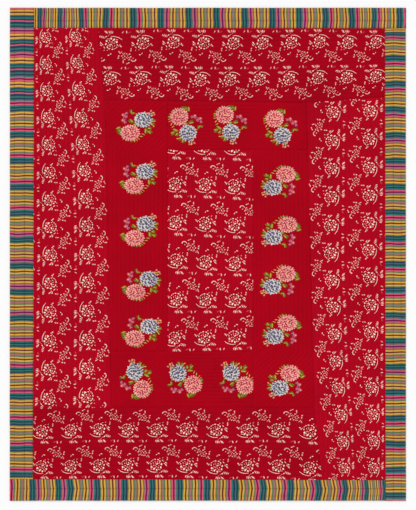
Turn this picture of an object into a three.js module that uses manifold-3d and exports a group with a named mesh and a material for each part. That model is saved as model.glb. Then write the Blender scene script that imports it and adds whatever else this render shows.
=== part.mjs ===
// Pieced and quilted bed cover, lying flat with its printed face up.
// Millimetres, +Z up, +Y towards the head end, origin under the middle of the quilt.
// Three nested rings of four strips go round a centre panel. In each ring every strip
// covers the corner at its start and butts against the next strip at its finish.
import * as THREE from 'three';
import { mergeVertices } from 'three/addons/utils/BufferGeometryUtils.js';
import Module from 'manifold-3d';

const wasm = await Module();
wasm.setup();

// Overall size
const QUILT_WIDTH = 1800;
const QUILT_LENGTH = 2240;

// Heights of the padded layers above the surface that the quilt lies on
const CROWN_HEIGHT = 6.4;
const STITCH_HEIGHT = 4.2;
const SEAM_HEIGHT = 3.2;
const EDGE_HEIGHT = 2.8;

// Sewing: the gap between two pieces, how far the padding takes to rise from a seam or
// from an edge, and the stitch lines with the share of a channel where it is fullest
const PIECE_GAP = 0.3;
const SEAM_SLOPE = 8;
const EDGE_SLOPE = 5;
const QUILTING_PITCH = 20;
const CROWN_FROM = 0.3;
const CROWN_TO = 0.7;

// Section of a binding, first from the folded edge to its stitch line and then from
// there to the seam, each as a share of that distance
const BINDING_OUTER_PART = [
  { share: 0, height: 1.7 },
  { share: 0.025, height: 3.6 },
  { share: 0.25, height: 5.8 },
  { share: 0.75, height: 5.8 },
  { share: 1, height: 3.6 },
];
const BINDING_INNER_PART = [
  { share: 0.3, height: 5.8 },
  { share: 0.7, height: 5.8 },
];

// How far hand-sewn lines and the folded outer edge stray from straight
const LINE_STRAY = 1.6;
const EDGE_STRAY = 1.5;
const STRAY_WAVES = [
  { length: 710, share: 0.6, phase: 0.4 },
  { length: 290, share: 0.4, phase: 2.1 },
];

// Slabs that the pieces are cut from: what they have to spare beyond a piece, their rows
// along a strip, and the distance within which points are welded
const SPARE = 45;
const PANEL_ROWS = 6;
const BINDING_ROWS = 14;
const WELD = 1e-3;

// Seam corners, going round from the upper left
const OUTLINE = {
  upperLeft: [-QUILT_WIDTH / 2, QUILT_LENGTH / 2],
  lowerLeft: [-QUILT_WIDTH / 2, -QUILT_LENGTH / 2],
  lowerRight: [QUILT_WIDTH / 2, -QUILT_LENGTH / 2],
  upperRight: [QUILT_WIDTH / 2, QUILT_LENGTH / 2],
};
const BINDING_SEAM = {
  upperLeft: [-789, 1029],
  lowerLeft: [-795, -1022],
  lowerRight: [808, -1027],
  upperRight: [805, 1026],
};
const FRAME_SEAM = {
  upperLeft: [-466, 701],
  lowerLeft: [-437, -696],
  lowerRight: [485, -697],
  upperRight: [450, 689],
};
const CENTRE_SEAM = {
  upperLeft: [-182, 474],
  lowerLeft: [-182, -442],
  lowerRight: [206, -442],
  upperRight: [206, 474],
};

// Where each outer panel's inner seam, which bends at the frame's corner, meets the binding
const PANEL_SEAM_ENDS = {
  left: [-500, 1029],
  bottom: [-795, -703],
  right: [519, -1027],
  top: [805, 715],
};

// Sides in the order in which the strips of a ring follow each other,
// with the distance of the binding's stitch line from the quilt's edge
const SIDES = [
  { name: 'left', from: 'upperLeft', to: 'lowerLeft', stitchFromEdge: 68 },
  { name: 'bottom', from: 'lowerLeft', to: 'lowerRight', stitchFromEdge: 54 },
  { name: 'right', from: 'lowerRight', to: 'upperRight', stitchFromEdge: 56 },
  { name: 'top', from: 'upperRight', to: 'upperLeft', stitchFromEdge: 60 },
];

// Quilting rounds of the centre and the frame, counted outwards from the centre's seam:
// how many there are in the frame, whose strips are wider at the sides than at the ends,
// how far they cut across the corners, and the innermost and outermost one
const ROUNDS = {
  inFrame: 14,
  sideStripWidth: 266,
  endStripWidth: 232,
  cornerCut: 3,
  leastCorner: 0.15,
  innermost: -9.4,
  outermost: 26,
};

const CLOTHS = {
  printed: { color: 0xab101d, roughness: 0.92, metalness: 0 },
  plain: { color: 0xa20316, roughness: 0.92, metalness: 0 },
  striped: { color: 0x8a7a4c, roughness: 0.88, metalness: 0 },
};

// Plan geometry: a line is a point and a unit direction, with the quilt on its left

function lineBetween(from, to) {
  const start = new THREE.Vector2(...from);
  const along = new THREE.Vector2(...to).sub(start).normalize();
  return { start, along, inward: new THREE.Vector2(-along.y, along.x) };
}

function sideLines(corners) {
  return SIDES.map((side) => lineBetween(corners[side.from], corners[side.to]));
}

function moved(line, inward) {
  return { ...line, start: line.start.clone().addScaledVector(line.inward, inward) };
}

function crossing(a, b) {
  const apart = b.start.clone().sub(a.start);
  const distance = apart.cross(b.along) / a.along.cross(b.along);
  return a.start.clone().addScaledVector(a.along, distance);
}

function reversed(line) {
  return { start: line.start, along: line.along.clone().negate(), inward: line.inward.clone().negate() };
}

// Corners of a plan whose sides are moved inwards by the given distances
function planCorners(lines, inward) {
  const sides = lines.map((line, i) => moved(line, inward[i]));
  return sides.map((line, i) => crossing(sides.at(i - 1), line));
}

// How far a sewn line strays to the side at a distance along it
function stray(along, amount) {
  const wave = ({ length, share, phase }) => share * Math.sin((2 * Math.PI * along) / length + phase);
  return amount * STRAY_WAVES.reduce((sum, row) => sum + wave(row), 0);
}

// Solids

function toSolid(geometry) {
  const bare = geometry.clone();
  bare.deleteAttribute('normal');
  bare.deleteAttribute('uv');
  const merged = mergeVertices(bare, WELD);
  const vertProperties = new Float32Array(merged.attributes.position.array);
  const triVerts = new Uint32Array(merged.index.array);
  return new wasm.Manifold(new wasm.Mesh({ numProp: 3, vertProperties, triVerts }));
}

function toGeometry(solid) {
  const { vertProperties, triVerts } = solid.getMesh();
  const geometry = new THREE.BufferGeometry();
  geometry.setAttribute('position', new THREE.BufferAttribute(vertProperties, 3));
  geometry.setIndex(new THREE.BufferAttribute(triVerts, 1));
  geometry.computeVertexNormals();
  return geometry;
}

// A closed body through stacked loops of [x, y, z] points that all have the same number
// of points and run anticlockwise seen from above, the lowest loop first
function loft(loops) {
  const count = loops[0].length;
  const index = [];
  for (let level = 0; level + 1 < loops.length; level += 1) {
    for (let i = 0; i < count; i += 1) {
      const next = (i + 1) % count;
      const [a, b] = [level * count + i, level * count + next];
      const [c, d] = [a + count, b + count];
      index.push(a, b, d, a, d, c);
    }
  }
  const cap = (loop) => THREE.ShapeUtils.triangulateShape(loop.map(([x, y]) => new THREE.Vector2(x, y)), []);
  const top = (loops.length - 1) * count;
  cap(loops[0]).forEach(([a, b, c]) => index.push(a, c, b));
  cap(loops.at(-1)).forEach(([a, b, c]) => index.push(top + a, top + b, top + c));
  const geometry = new THREE.BufferGeometry();
  geometry.setAttribute('position', new THREE.Float32BufferAttribute(loops.flat(2), 3));
  geometry.setIndex(index);
  return geometry;
}

// The room of one piece: upright sides, then slopes where the padding rises from a seam
// or from the quilt's edge, to above its crowns. An open side is left to the slab.
const ROOM_HEIGHT = CROWN_HEIGHT + 1;
const SIDE_KINDS = {
  seam: { inward: PIECE_GAP / 2, wall: SEAM_HEIGHT, slope: SEAM_SLOPE },
  edge: { inward: 0, wall: EDGE_HEIGHT, slope: EDGE_SLOPE },
  open: { inward: -SPARE, wall: EDGE_HEIGHT, slope: 0 },
};

function pieceRoom(lines, kinds) {
  const sides = kinds.map((kind) => SIDE_KINDS[kind]);
  const wall = Math.min(...sides.map((side) => side.wall));
  const level = (height, inwardOf) =>
    planCorners(lines, sides.map(inwardOf)).map(({ x, y }) => [x, y, height]);
  return loft([
    level(0, (side) => side.inward),
    level(wall, (side) => side.inward),
    level(ROOM_HEIGHT, (side) => side.inward + side.slope),
  ]);
}

function cutPiece(slab, lines, kinds) {
  return toGeometry(slab.intersect(toSolid(pieceRoom(lines, kinds))));
}

// Upper outline of a padded layer across its width: low on each stitch line, full between
function channelPoints(width) {
  const count = Math.round(width / QUILTING_PITCH);
  const pitch = width / count;
  const spare = Math.ceil(SPARE / pitch);
  const points = [];
  for (let channel = -spare; channel < count + spare; channel += 1) {
    points.push([channel * pitch, STITCH_HEIGHT]);
    points.push([(channel + CROWN_FROM) * pitch, CROWN_HEIGHT]);
    points.push([(channel + CROWN_TO) * pitch, CROWN_HEIGHT]);
  }
  points.push([(count + spare) * pitch, STITCH_HEIGHT]);
  return points;
}

// Upper outline of a binding: a folded edge, then one channel each side of its stitch line
function bindingPoints(width, stitchFromEdge) {
  const toSeam = width - stitchFromEdge;
  return [
    ...BINDING_OUTER_PART.map(({ share, height }) => [share * stitchFromEdge, height]),
    ...BINDING_INNER_PART.map(({ share, height }) => [stitchFromEdge + share * toSeam, height]),
    [width + SPARE, SEAM_HEIGHT],
  ];
}

// A slab along a strip's outer side: the section runs inwards from that side, and every
// row of it strays inwards a little, as hand-sewn lines do
function stripSlab(points, side, length, rows, strayAmount) {
  const section = new THREE.Shape();
  section.moveTo(points[0][0], -SPARE);
  section.lineTo(points.at(-1)[0], -SPARE);
  [...points].reverse().forEach(([across, height]) => section.lineTo(across, height));
  const geometry = new THREE.ExtrudeGeometry(section, {
    depth: length + 2 * SPARE,
    steps: rows,
    bevelEnabled: false,
  });
  const position = geometry.attributes.position;
  for (let i = 0; i < position.count; i += 1) {
    position.setX(i, position.getX(i) + strayAmount + stray(position.getZ(i), strayAmount));
  }
  const begin = side.start.clone().addScaledVector(side.along, -SPARE);
  const placed = new THREE.Matrix4().makeBasis(
    new THREE.Vector3(side.inward.x, side.inward.y, 0),
    new THREE.Vector3(0, 0, 1),
    new THREE.Vector3(side.along.x, side.along.y, 0),
  );
  placed.setPosition(begin.x, begin.y, 0);
  return toSolid(geometry.applyMatrix4(placed));
}

// One quilting round: straight along the sides and ends, slanting across the corners,
// with a point in the middle of every stretch
function roundLoop(round, height) {
  const { inFrame, sideStripWidth, endStripWidth, cornerCut, leastCorner } = ROUNDS;
  const low = new THREE.Vector2(...CENTRE_SEAM.lowerLeft);
  const high = new THREE.Vector2(...CENTRE_SEAM.upperRight);
  const middle = low.clone().add(high).multiplyScalar(0.5);
  const half = high.clone().sub(middle);
  const cut = Math.min(Math.SQRT2 * (round - cornerCut) - round, round - leastCorner);
  const x = [round, cut].map((rounds) => half.x + (rounds * sideStripWidth) / inFrame);
  const y = [round, cut].map((rounds) => half.y + (rounds * endStripWidth) / inFrame);
  const corners = [
    [x[0], -y[1]], [x[0], y[1]], [x[1], y[0]], [-x[1], y[0]],
    [-x[0], y[1]], [-x[0], -y[1]], [-x[1], -y[0]], [x[1], -y[0]],
  ];
  return corners.flatMap((corner, i) => {
    const next = corners[(i + 1) % corners.length];
    const between = [(corner[0] + next[0]) / 2, (corner[1] + next[1]) / 2];
    return [corner, between].map(([px, py]) => [
      middle.x + px + stray(py, LINE_STRAY),
      middle.y + py + stray(px, LINE_STRAY),
      height,
    ]);
  });
}

// The quilted layer of the frame and the centre, round after round from the outside in
function roundsSlab() {
  const { innermost, outermost } = ROUNDS;
  const loops = [roundLoop(outermost, -SPARE)];
  for (let round = outermost; round > Math.ceil(innermost); round -= 1) {
    loops.push(roundLoop(round, STITCH_HEIGHT));
    loops.push(roundLoop(round - CROWN_FROM, CROWN_HEIGHT));
    loops.push(roundLoop(round - CROWN_TO, CROWN_HEIGHT));
  }
  loops.push(roundLoop(Math.ceil(innermost), STITCH_HEIGHT));
  loops.push(roundLoop(innermost, CROWN_HEIGHT));
  return toSolid(loft(loops));
}

// Pieces

function clothMesh(name, geometry, cloth) {
  const mesh = new THREE.Mesh(geometry, new THREE.MeshStandardMaterial(CLOTHS[cloth]));
  mesh.name = name;
  return mesh;
}

// The bounding lines of strip i in a ring: the start at the neighbour's outer line, its own
// outer line, the finish at the next strip, its own inner line, and the last stretch of
// that where it bends
function stripLines(outer, inner, bent, i) {
  const next = (i + 1) % SIDES.length;
  const finish = bent ? reversed(bent[next]) : inner[next];
  return [outer.at(i - 1), outer[i], finish, reversed(inner[i]), ...(bent ? [bent[i]] : [])];
}

function stripSize(lines) {
  const corners = planCorners(lines, lines.map(() => 0));
  const middle = (a, b) => corners[a].clone().add(corners[b]).multiplyScalar(0.5);
  return { length: corners[1].distanceTo(corners[2]), width: middle(1, 2).distanceTo(middle(0, 3)) };
}

function ring(outerCorners, innerCorners, makeStrip, seamEnds) {
  const outer = sideLines(outerCorners);
  const inner = sideLines(innerCorners);
  const bent = seamEnds && SIDES.map(({ name, from }) => lineBetween(innerCorners[from], seamEnds[name]));
  const group = new THREE.Group();
  SIDES.forEach((side, i) => {
    const lines = stripLines(outer, inner, bent, i);
    group.add(makeStrip(side, lines, stripSize(lines)));
  });
  return group;
}

function bindingStrip(side, lines, { length, width }) {
  const points = bindingPoints(width, side.stitchFromEdge);
  const slab = stripSlab(points, lines[1], length, BINDING_ROWS, EDGE_STRAY);
  const geometry = cutPiece(slab, lines, ['edge', 'open', 'seam', 'seam']);
  return clothMesh(`binding_${side.name}`, geometry, 'striped');
}

function borderPanel(side, lines, { length, width }) {
  const slab = stripSlab(channelPoints(width), lines[1], length, PANEL_ROWS, LINE_STRAY);
  const geometry = cutPiece(slab, lines, lines.map(() => 'seam'));
  return clothMesh(`border_panel_${side.name}`, geometry, 'printed');
}

const rounds = roundsSlab();

function frameStrip(side, lines) {
  const geometry = cutPiece(rounds, lines, ['seam', 'seam', 'seam', 'seam']);
  return clothMesh(`frame_strip_${side.name}`, geometry, 'plain');
}

function centrePanel() {
  const geometry = cutPiece(rounds, sideLines(CENTRE_SEAM), ['seam', 'seam', 'seam', 'seam']);
  return clothMesh('centre_panel', geometry, 'printed');
}

const quilt = new THREE.Group();
quilt.add(ring(OUTLINE, BINDING_SEAM, bindingStrip));
quilt.add(ring(BINDING_SEAM, FRAME_SEAM, borderPanel, PANEL_SEAM_ENDS));
quilt.add(ring(FRAME_SEAM, CENTRE_SEAM, frameStrip));
quilt.add(centrePanel());

export default quilt;
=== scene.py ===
"""A reversible patchwork quilt, laid out flat with its printed face up.

Every sewn piece is a quilted cloth of its own, with its stitches, over the plain solid of the same name.
Lengths are in metres; the printed motifs alone are drawn in millimetres of cloth.
"""
import math
import random

import bpy
import numpy as np
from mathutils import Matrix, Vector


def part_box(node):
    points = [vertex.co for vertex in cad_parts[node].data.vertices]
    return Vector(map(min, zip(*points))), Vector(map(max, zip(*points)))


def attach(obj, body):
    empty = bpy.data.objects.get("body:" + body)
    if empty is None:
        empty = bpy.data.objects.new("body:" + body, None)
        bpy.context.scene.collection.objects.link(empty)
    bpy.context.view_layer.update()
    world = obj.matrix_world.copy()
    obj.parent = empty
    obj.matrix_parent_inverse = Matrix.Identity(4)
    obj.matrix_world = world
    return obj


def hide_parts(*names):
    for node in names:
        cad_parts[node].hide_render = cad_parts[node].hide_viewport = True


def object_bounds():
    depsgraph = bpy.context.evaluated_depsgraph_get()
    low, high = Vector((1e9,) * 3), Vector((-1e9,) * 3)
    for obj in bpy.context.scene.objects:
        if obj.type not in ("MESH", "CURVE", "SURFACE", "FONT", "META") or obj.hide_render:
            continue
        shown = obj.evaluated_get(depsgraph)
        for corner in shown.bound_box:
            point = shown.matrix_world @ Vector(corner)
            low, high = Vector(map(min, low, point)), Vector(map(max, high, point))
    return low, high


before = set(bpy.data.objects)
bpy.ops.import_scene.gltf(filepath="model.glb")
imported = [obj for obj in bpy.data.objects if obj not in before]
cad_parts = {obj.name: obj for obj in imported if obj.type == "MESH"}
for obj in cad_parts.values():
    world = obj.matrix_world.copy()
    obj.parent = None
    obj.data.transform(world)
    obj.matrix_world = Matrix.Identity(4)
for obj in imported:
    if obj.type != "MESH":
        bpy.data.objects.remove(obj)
cad_box = [list(corner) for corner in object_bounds()]

MM_IN_METRE = 1000

# Heights above the surface that the quilt lies on
CROWN_HEIGHT = 0.0062
STITCH_HEIGHT = 0.0038
SEAM_HEIGHT = 0.0028
BACK_RISE = 0.0010
FOLD_HEIGHT = 0.0019
FOLD_LIP = 0.0003
STITCH_SINK = 0.0001
FLOOR_LEVEL = -0.0004

# Widths over which the cloth turns down at its edges, and how far the pieces close up on their seams
SEAM_RUN = 0.008
FOLD_RUN = 0.004
SEAM_CLOSING = 0.00014

# Meshes: closer points are welded, sharper edges stay hard, and faces that look down more are the reverse
WELD = 0.00002
SMOOTH_ANGLE = 62
UNDERSIDE_TILT = -0.4

# Ridge over a seam allowance that lies to one side of its seam
ALLOWANCE_FROM_SEAM = 0.0065
ALLOWANCE_SPREAD = 0.0035
ALLOWANCE_HEIGHT = 0.0009

# Quilting lines: straight ones on the outer panels, rounds with cut corners on the frame and the centre
QUILTING_PITCH = 0.020
ROUNDS_IN_FRAME = 14
FRAME_STRIP_WIDTHS = (0.266, 0.232)
CORNER_CUT = 3
ROUND_LEVELS = range(-9, 27)
ROUNDS_OUTWARD = 40
CENTRE_PLAIN_WITHIN = -10
SAME_LEVEL = 1e-6
PUFF_POWER = 2.2
CHANNEL_PARTS = (0.0, 0.14, 0.36, 0.64, 0.86)
PLAIN_STEP = 0.007

# Bindings: the hem line and each strip's stitch line in from the folded edge, and the steps of their grid
HEM_LINE = 0.021
HEM_DEPTH = 0.0009
BINDING_LINES = {"left": 0.068, "bottom": 0.054, "right": 0.056, "top": 0.060}
BINDING_DEPTH = 0.0021
BINDING_VALLEY = 0.011
FOLD_STEPS = (0.0, 0.0008, 0.002, 0.004, 0.007, 0.012)
HEM_STEPS = (0.018, 0.021, 0.024, 0.030, 0.040)
LINE_STEPS = (-0.006, -0.003, 0.0, 0.003, 0.006)
LINE_STEPS_REACH = 0.009
BINDING_STEP = 0.006
PLAIN_RUNS_FROM = 0.03
PLAIN_DEPTHS_FROM = 0.046
BINDING_SPARE = 0.02

# Unevenness of hand work: waves by their share and length, and a seed for each field of waves
WAVE_COUNT = 6
WAVE_STRETCH = (0.7, 1.6)
LONG_WAVE = 0.5
LINE_STRAY = 0.0016
LINE_WAVES = ((0.7, 0.42), (0.3, 0.16))
EDGE_STRAY = 0.0006
EDGE_WAVE = 0.35
LUMP_WAVES = ((0.16, 0.07), (0.10, 0.30))
PUCKER_HEIGHT = 0.00022
PUCKER_WAVE = 0.026
PUCKER_ON_CROWN = 0.15
BACK_POWER = 1.5
FILLING_LEAST = 0.72
FILLING_SPREAD = 0.38
FILLING_SHUFFLE = (12.9898, 4.1, 43758.5453)
SEEDS = {
    "rounds in x": 11, "rounds in y": 21, "edge": 31, "lumps": 41, "puckers": 43, "print in x": 51,
    "print in y": 52, "stripe pull": 61, "stripe drag": 63, "creases": 70,
}

# Running stitches
STITCH_SPACING = 0.0090
STITCH_LENGTH = 0.0052
STITCH_WIDTH = 0.0009
STITCH_SIDES = 4
STITCH_CLEAR_OF_SEAM = 0.004

# Soft creases where the quilt was folded: axis across the crease, place, reach along it, half width, depth
CREASES = (
    (0, 0.002, (-1.1, 1.1), 0.009, 0.0009),
    (1, -0.277, (-0.88, 0.88), 0.009, 0.0008),
    (1, 0.873, (0.10, 0.80), 0.008, 0.0006),
    (1, 0.700, (0.45, 0.80), 0.008, 0.0006),
)
CREASE_STRAY = 0.004
CREASE_FADE = 0.08
CREASE_AT_LINE = 0.4

# Each strip's corners run anticlockwise from the start of its outer side
CORNERS = ("ul", "ll", "lr", "ur")
CORNER_WAYS = {"ul": (-1, 1), "ll": (-1, -1), "lr": (1, -1), "ur": (1, 1)}
FIRST_CORNER = {"left": 0, "bottom": 1, "right": 2, "top": 3}
SIDES = tuple(FIRST_CORNER)

# For each edge strip, its outer side and its start as an axis and the low (0) or high (1) end of the outline
OUTLINE_SIDES = {
    "left": ((0, 0), (1, 1)),
    "bottom": ((1, 0), (0, 0)),
    "right": ((0, 1), (1, 0)),
    "top": ((1, 1), (0, 1)),
}

# Flower print on each printed piece: six of its flowers, each by its number along the motif's two axes and
# its place on the quilt
PRINT_PINS = {
    "border_panel_left": (
        (0, 1, -0.724, -0.652), (7, 1, -0.720, 0.250), (13, 1, -0.736, 0.987),
        (0, 0, -0.552, -0.649), (7, 0, -0.557, 0.256), (13, 0, -0.600, 0.987),
    ),
    "border_panel_bottom": (
        (0, 0, 0.459, -0.804), (4, 0, -0.101, -0.798), (9, 0, -0.754, -0.804),
        (0, 1, 0.461, -0.972), (4, 1, -0.098, -0.961), (9, 1, -0.755, -0.966),
    ),
    "border_panel_right": (
        (0, 0, 0.570, 0.642), (7, 0, 0.570, -0.244), (13, 0, 0.619, -0.973),
        (0, 1, 0.738, 0.647), (7, 1, 0.738, -0.233), (13, 1, 0.754, -0.974),
    ),
    "border_panel_top": (
        (0, 0, -0.441, 0.801), (5, 0, 0.239, 0.797), (9, 0, 0.763, 0.809),
        (0, 1, -0.435, 0.962), (5, 1, 0.250, 0.963), (9, 1, 0.764, 0.965),
    ),
    "centre_panel": (
        (0, 0, 0.117, 0.308), (0, 2, 0.119, -0.039), (0, 4, 0.121, -0.377),
        (2, 0, -0.151, 0.317), (2, 2, -0.145, -0.032), (2, 4, -0.153, -0.383),
    ),
}
PRINT_DRIFT = 0.003

# On an outer panel, where the print ends along its second axis, and a place of the repeat that has no ink
PRINT_STOPS_AT = -0.61
BARE_PLACE = (0.06, -0.25)

# Bouquets on each frame strip: how far the cloth is drawn out in X and Y, and each one's place and turn
BOUQUETS = {
    "left": ((1.09, 0.91), (
        (-0.323, 0.581, 111), (-0.310, 0.344, 118), (-0.307, 0.106, 118), (-0.298, -0.142, 111),
        (-0.299, -0.355, 105),
    )),
    "bottom": ((1.0, 1.0), ((-0.315, -0.573, 174), (-0.101, -0.566, 204), (0.138, -0.567, 198))),
    "right": ((1.09, 0.91), (
        (0.350, -0.574, -60), (0.333, -0.343, -67), (0.324, -0.118, -71), (0.330, 0.106, -72),
        (0.326, 0.333, -68),
    )),
    "top": ((1.03, 0.97), ((0.321, 0.577, -5), (0.091, 0.594, -10), (-0.110, 0.588, -2))),
}

# Stripes go clockwise round the quilt. For each strip: the axis it runs along, and places on it with the
# number of the repeat there, closer together where the cloth is gathered towards a corner.
STRIPE_PINS = {
    "top": (0, (
        (-0.744, 0), (-0.653, 1), (-0.555, 2), (-0.439, 3), (0.320, 9), (0.679, 12), (0.776, 13), (0.898, 14),
    )),
    "right": (1, ((1.018, -0.44), (0.982, 0), (-1.004, 17))),
    "bottom": (0, ((0.785, 0), (0.701, 1), (0.597, 2), (-0.656, 12), (-0.771, 13), (-0.894, 14))),
    "left": (1, ((-1.014, -0.33), (-0.979, 0), (0.686, 14))),
}

# The bottom strip's left end is cut from cloth that lies the other way round: where its seam is, and the
# repeat there. The left strip's upper end is another run of stripes.
TURNED_SEAM = -0.656
TURNED_REPEAT = 12
OTHER_STRIPES_FROM = 0.693
OTHER_STRIPE_REPEAT = 0.1095

# How the stripes bend: waves by reach, length and change across the strip, and each strip's drag at its line
STRIPE_PULLS = ((0.0004, 0.05, 1), (0.0016, 0.16, 2))
STRIPE_DRAG = {"left": 0.0015, "bottom": 0.0080, "right": 0.0022, "top": 0.0022}
DRAG_SHARE = 0.6
DRAG_SPREAD = 0.7

# One repeat of the striped cloth: dye and share of the repeat, from the start of the pink group
STRIPES = (
    ("pink", 0.050), ("purple", 0.052), ("pink", 0.050), ("green", 0.052), ("ochre", 0.059),
    ("maroon", 0.058), ("ochre", 0.057), ("green", 0.057), ("mauve", 0.059), ("green", 0.057),
    ("ochre", 0.059), ("maroon", 0.056), ("ochre", 0.057), ("green", 0.044), ("navy", 0.058),
    ("teal", 0.050), ("navy", 0.058), ("teal", 0.067),
)
OTHER_STRIPES = (
    ("pink", 0.058), ("purple", 0.058), ("pink", 0.058), ("teal", 0.065), ("navy", 0.060), ("teal", 0.070),
    ("navy", 0.095), ("pink", 0.055), ("navy", 0.060), ("teal", 0.070), ("navy", 0.050), ("teal", 0.050),
    ("ochre", 0.075), ("maroon", 0.060), ("ochre", 0.075), ("green", 0.041),
)
PINK_GROUP = 3
REPEATS_BEFORE = 40

# Dyes and inks, as red, green and blue of 255
DYES = {
    "frame red": (166, 0, 22),
    "side red": (171, 2, 28),
    "end red": (161, 0, 24),
    "reverse red": (138, 10, 24),
    "thread red": (152, 8, 26),
    "ink rim": (222, 104, 106),
    "cream": (255, 238, 222),
    "ochre": (214, 162, 70),
    "maroon": (104, 50, 38),
    "pink": (212, 86, 112),
    "purple": (98, 22, 80),
    "teal": (50, 112, 104),
    "navy": (40, 60, 82),
    "green": (90, 116, 82),
    "mauve": (166, 106, 108),
    "rose": (176, 54, 68),
    "coral": (206, 80, 88),
    "salmon": (232, 130, 126),
    "shell": (247, 192, 178),
    "apricot": (242, 164, 96),
    "lime": (180, 168, 58),
    "leaf": (120, 122, 42),
    "shade": (66, 60, 24),
    "sepal": (196, 190, 96),
    "lilac": (204, 98, 116),
    "plum": (88, 30, 82),
    "ice": (217, 211, 206),
    "slate": (170, 165, 174),
    "steel": (126, 119, 138),
    "ink": (74, 63, 94),
    "lemon": (244, 216, 112),
    "floor": (250, 250, 250),
}

# The camera, square above the quilt, has this many pixels of this size from top to bottom
PIXEL = 0.004543
IMAGE_HEIGHT = 510
CAMERA_HEIGHT = 7.0
CAMERA_PLACE = (0.0009, -0.0035)
SENSOR_SIZE = 0.036

# Studio
FLOOR_SIZE = 40
FLOOR_CLOUD_SCALE = 0.6
FLOOR_CLOUD_SHADE = 0.02
DAYLIGHT = 0.66


def dye(name):
    """A dye's colour on the linear scale that shaders take, by the usual sRGB curve."""
    shares = [part / 255 for part in DYES[name]]
    linear = [part / 12.92 if part <= 0.04045 else ((part + 0.055) / 1.055) ** 2.4 for part in shares]
    return (*linear, 1.0)


# Plan of the pieces


def read(rows, name, columns=1, kind=np.float64):
    """One value, or one row of values, for each point, face corner or face of a mesh."""
    values = np.empty(len(rows) * columns, dtype=kind)
    rows.foreach_get(name, values)
    return values.reshape(-1, columns) if columns > 1 else values


def points_of(thing):
    """All the points of a mesh object, one row each."""
    return read(thing.data.vertices, "co", 3)


def put_points(thing, points):
    """Moves a mesh object's points to these rows."""
    thing.data.vertices.foreach_set("co", np.ascontiguousarray(points, dtype=np.float32).ravel())
    thing.data.update()


def rolling(x, y, length, seed):
    """A smooth uneven field, about -1 to 1, with waves around this length."""
    draw = random.Random(seed)
    total = np.zeros_like(x)
    for _ in range(WAVE_COUNT):
        turn = draw.uniform(0, math.tau)
        stretch = length * draw.uniform(*WAVE_STRETCH)
        phase = draw.uniform(0, math.tau)
        total += np.sin(math.tau * (x * math.cos(turn) + y * math.sin(turn)) / stretch + phase)
    return total / math.sqrt(WAVE_COUNT * 2)


def rolling_along(run, length, seed):
    """An uneven field along one line."""
    return rolling(run, np.zeros_like(run), length, seed)


def layered(x, y, waves, seed):
    """Uneven fields added up, each with its share and its length."""
    return sum(share * rolling(x, y, length, seed + number) for number, (share, length) in enumerate(waves))


def line_wander(x, y, seed):
    """How far a hand-sewn line strays from its ruled place."""
    return LINE_STRAY * layered(x, y, LINE_WAVES, seed)


class Piece:
    """One sewn piece in plan: straight sides, anticlockwise, its outer side first."""

    def __init__(self, node, side):
        self.node = node
        self.side = side
        self.corners = self.plan_corners()
        runs = np.roll(self.corners, -1, axis=0) - self.corners
        self.along = runs / np.linalg.norm(runs, axis=1)[:, None]
        self.inward = np.column_stack([-self.along[:, 1], self.along[:, 0]])
        self.corners = self.corners - SEAM_CLOSING * (self.inward + np.roll(self.inward, 1, axis=0))
        self.sewn = (True,) * len(self.corners)

    def plan_corners(self):
        """The solid's four corners, from the start of its outer side."""
        points = points_of(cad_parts[self.node])[:, :2]
        found = {name: points[np.argmax(points @ way)] for name, way in CORNER_WAYS.items()}
        first = FIRST_CORNER[self.side]
        return np.array([found[name] for name in CORNERS[first:] + CORNERS[:first]])

    def inset(self, plan):
        """Each side's row: how far the points lie inside that side."""
        return np.array([(plan - corner) @ way for corner, way in zip(self.corners, self.inward)])

    def size(self):
        """Width across and length along the outer side."""
        reach = (self.corners - self.corners[0]) @ np.column_stack([self.inward[0], self.along[0]])
        return np.ptp(reach, axis=0)

    def area(self):
        """Area in plan."""
        x, y = self.corners.T
        return 0.5 * float(np.sum(x * np.roll(y, -1) - y * np.roll(x, -1)))

    def to_plan(self, run, depth):
        """Points this far along the outer side and this far in from it."""
        return self.corners[0] + np.outer(run, self.along[0]) + np.outer(depth, self.inward[0])

    def local(self, plan):
        """How far along the outer side and how far in from it the points lie."""
        return ((plan - self.corners[0]) @ np.column_stack([self.along[0], self.inward[0]])).T

    def way_along(self, plan, centres, faces):
        """Distance along the stitch lines."""
        return self.local(plan)[0]

    def stitch_line(self, depth, shift=0.0):
        """Stitches along a line this far in: their places and the way each one lies."""
        runs = np.arange(STITCH_SPACING, self.size()[1], STITCH_SPACING)
        return self.strayed(runs + shift, np.full_like(runs, depth)), np.tile(self.along[0], (len(runs), 1))


def channel_steps(low, high, pitch):
    """A few places to each channel, the stitch lines among them."""
    first, last = math.floor(low / pitch), math.ceil(high / pitch)
    places = [pitch * (line + part) for line in range(first, last + 1) for part in CHANNEL_PARTS]
    return [place for place in places if low <= place <= high]


def even_steps(low, high, step):
    """Places from low to high, about this step apart."""
    return list(np.linspace(low, high, max(2, round((high - low) / step)) + 1))


# Kinds of piece. Each has the steps of its grid, points strayed from their ruled places, the number of the
# channel at each point, which is its level, and its stitch lines.


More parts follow.
